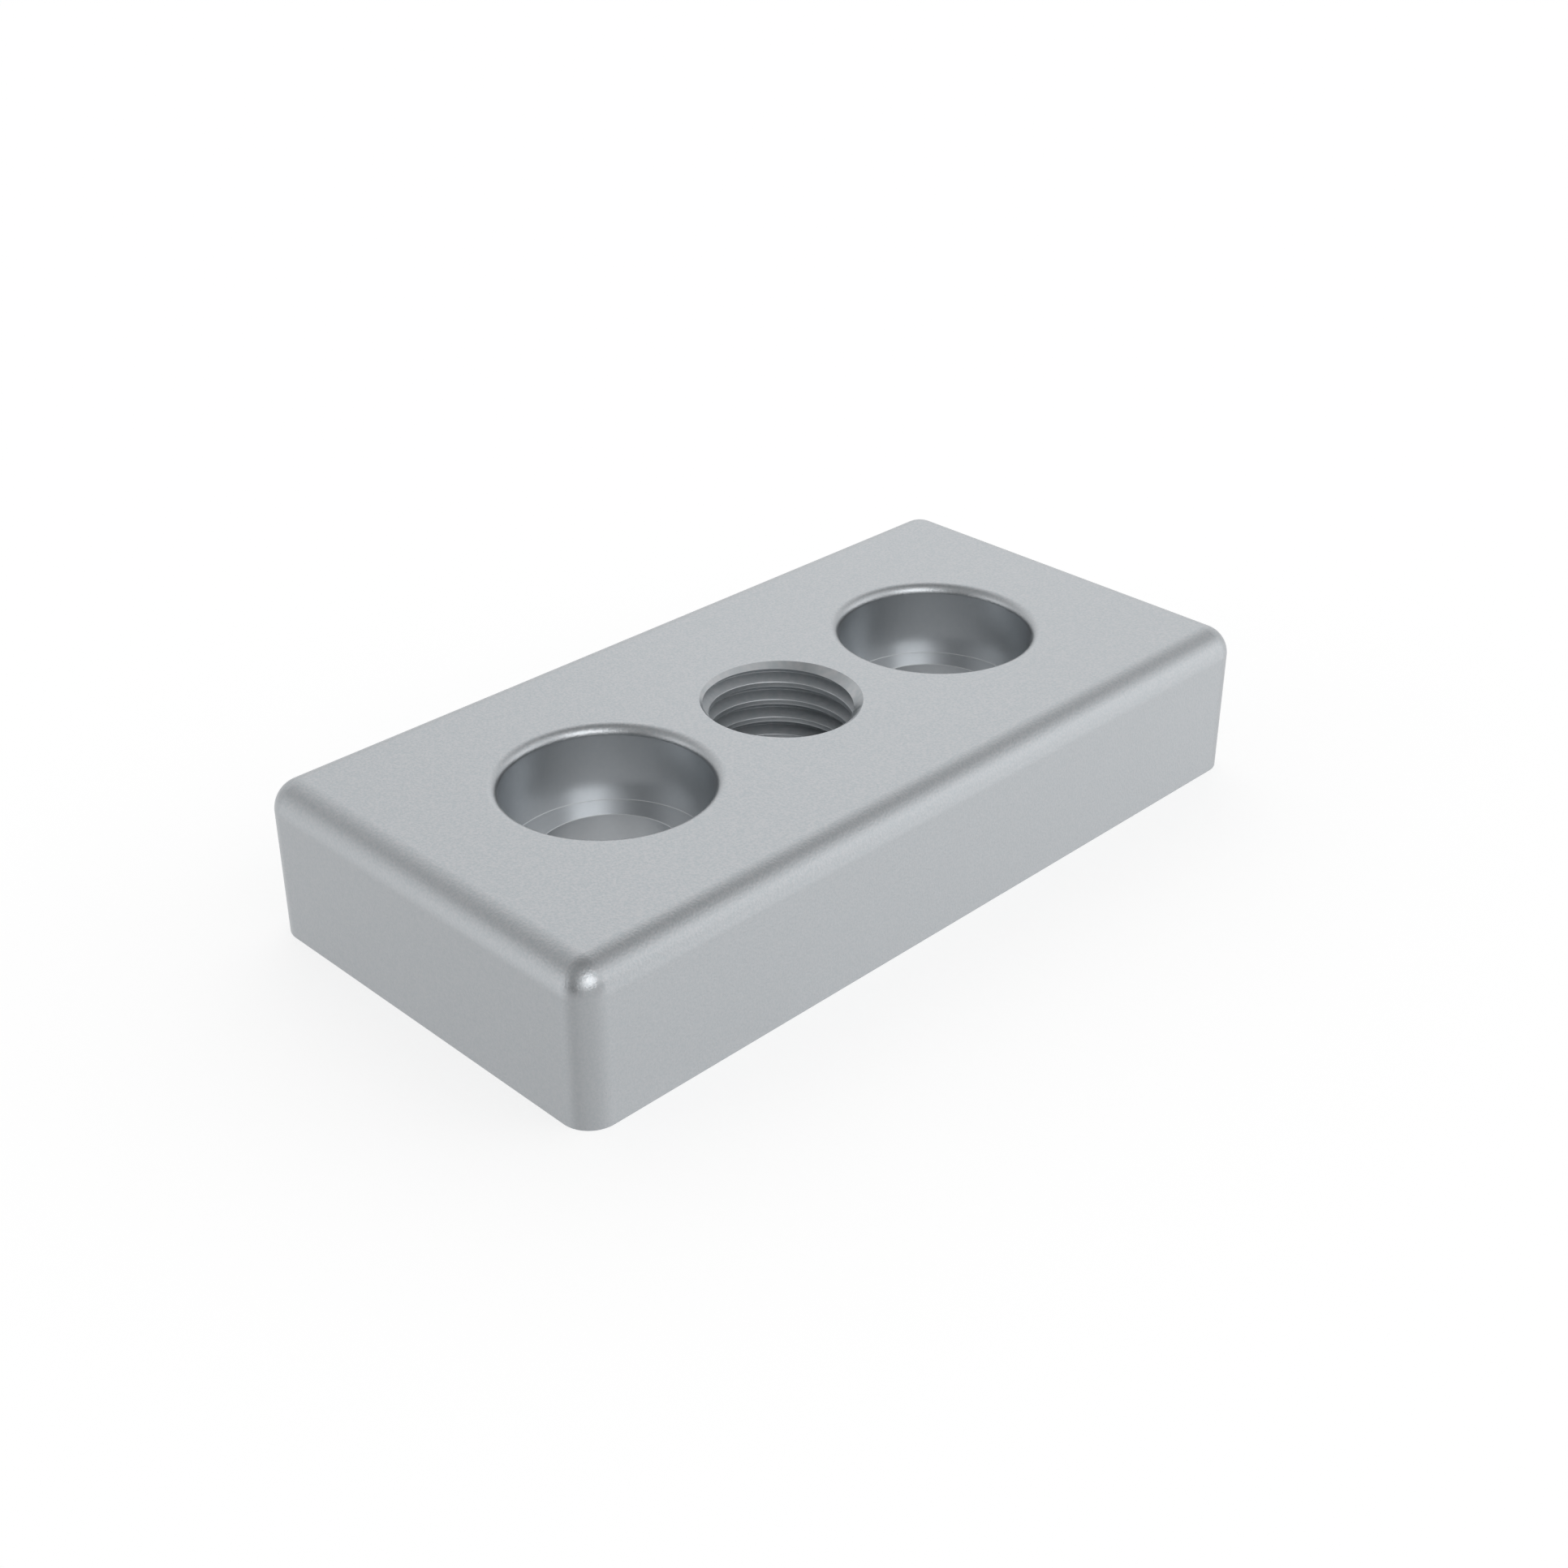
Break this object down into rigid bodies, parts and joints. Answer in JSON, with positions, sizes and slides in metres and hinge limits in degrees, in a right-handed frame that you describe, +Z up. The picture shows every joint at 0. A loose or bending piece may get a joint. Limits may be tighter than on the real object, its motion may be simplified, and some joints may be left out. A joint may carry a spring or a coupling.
{
  "type": "base plate",
  "caption": "Cast end plate for a rectangular framing profile: rounded block with counterbored screw holes either side of a threaded hole for a foot or castor.",
  "frame": {"origin": "centre of the underside, the flat face that lies against the profile's end", "axes": "+X along the plate's length, through the centres of the three holes; +Y across its width; +Z up from the underside to the rounded top face"},
  "size_m": [0.09, 0.045, 0.016],
  "materials": {
    "cast_metal": "blasted die-cast outside with a fine grain, smooth machined holes"
  },
  "bodies": {
    "root": {"base_plate": "cast_metal"}
  },
  "joints": []
}
